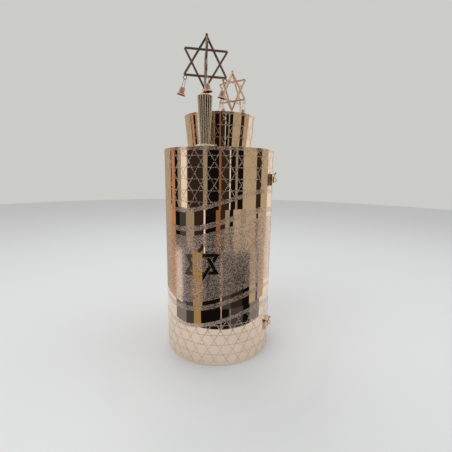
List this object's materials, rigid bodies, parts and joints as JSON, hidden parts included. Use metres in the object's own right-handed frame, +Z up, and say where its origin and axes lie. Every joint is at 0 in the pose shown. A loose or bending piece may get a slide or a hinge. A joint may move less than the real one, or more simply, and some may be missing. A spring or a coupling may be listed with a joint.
{
  "type": "torah case",
  "caption": "Round polished metal torah case that opens like a book, with a flared open crown and bell-hung star finials.",
  "frame": {"origin": "centre of the case's round base, on the surface it stands on", "axes": "+Z up along the case; -Y towards the clasps at the seam; +Y towards the hinges; the finials stand at -X and +X"},
  "size_m": [0.3873, 0.3404, 0.8594],
  "materials": {
    "rose_metal": "mirror polished with a rose tint, with finely etched bands",
    "clasp_metal": "polished with a rose tint",
    "bronze": "polished, pale bronze tint",
    "copper": "polished, dark copper tint"
  },
  "bodies": {
    "fixed_half": {"case_half_left": "rose_metal", "crown_half_left": "rose_metal", "finial_stem_left": "bronze", "finial_star_left": "copper", "bell_left_1": "copper", "bell_left_2": "copper", "bell_left_3": "copper", "bell_left_4": "copper", "catch_lower": "clasp_metal", "catch_upper": "clasp_metal", "rivet_catch_lower_a": "clasp_metal", "rivet_catch_lower_b": "clasp_metal", "rivet_catch_upper_a": "clasp_metal", "rivet_catch_upper_b": "clasp_metal", "hinge_leaf_lower_left": "clasp_metal", "hinge_leaf_upper_left": "clasp_metal", "hinge_pin_lower": "clasp_metal", "hinge_pin_upper": "clasp_metal", "screw_lower_left_a": "clasp_metal", "screw_lower_left_b": "clasp_metal", "screw_upper_left_a": "clasp_metal", "screw_upper_left_b": "clasp_metal"},
    "swinging_half": {"case_half_right": "rose_metal", "crown_half_right": "rose_metal", "finial_stem_right": "bronze", "finial_star_right": "copper", "bell_right_1": "copper", "bell_right_2": "copper", "bell_right_3": "copper", "bell_right_4": "copper", "strap_lower": "clasp_metal", "strap_upper": "clasp_metal", "rivet_strap_lower_a": "clasp_metal", "rivet_strap_lower_b": "clasp_metal", "rivet_strap_upper_a": "clasp_metal", "rivet_strap_upper_b": "clasp_metal", "hinge_leaf_lower_right": "clasp_metal", "hinge_leaf_upper_right": "clasp_metal", "screw_lower_right_a": "clasp_metal", "screw_lower_right_b": "clasp_metal", "screw_upper_right_a": "clasp_metal", "screw_upper_right_b": "clasp_metal"}
  },
  "joints": [
    {"name": "case_hinge", "type": "hinge", "parent": "fixed_half", "child": "swinging_half", "pos_m": [0, 0.1635, 0.3], "axis": [0, 0, 1], "range_deg": [0, 180]}
  ]
}
